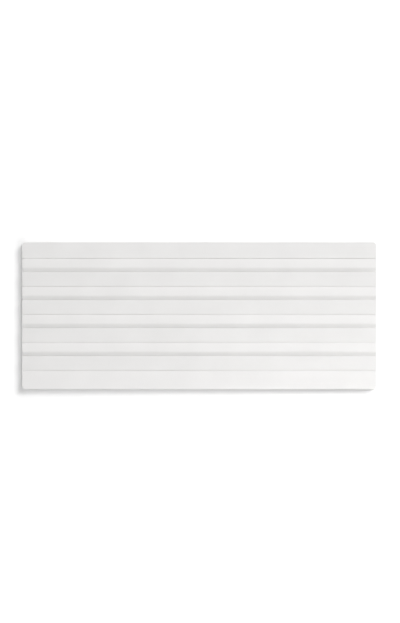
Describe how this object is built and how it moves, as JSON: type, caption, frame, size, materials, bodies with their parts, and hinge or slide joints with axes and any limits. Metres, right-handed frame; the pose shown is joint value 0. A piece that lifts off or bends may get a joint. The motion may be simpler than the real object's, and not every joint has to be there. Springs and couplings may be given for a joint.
{
  "type": "slat wall panel",
  "caption": "White slat wall panel: an extruded board with rounded corners and stepped slats, with a full-length channel behind each lip for hooks, brackets and shelf arms.",
  "frame": {"origin": "centre of the flat back, on the surface that the board lies on", "axes": "+X along the slats, +Y up the board as it hangs on a wall, +Z out of its face"},
  "size_m": [0.963, 0.4, 0.019],
  "materials": {
    "foamed_pvc": "satin"
  },
  "bodies": {
    "root": {"slat_panel": "foamed_pvc"}
  },
  "joints": []
}
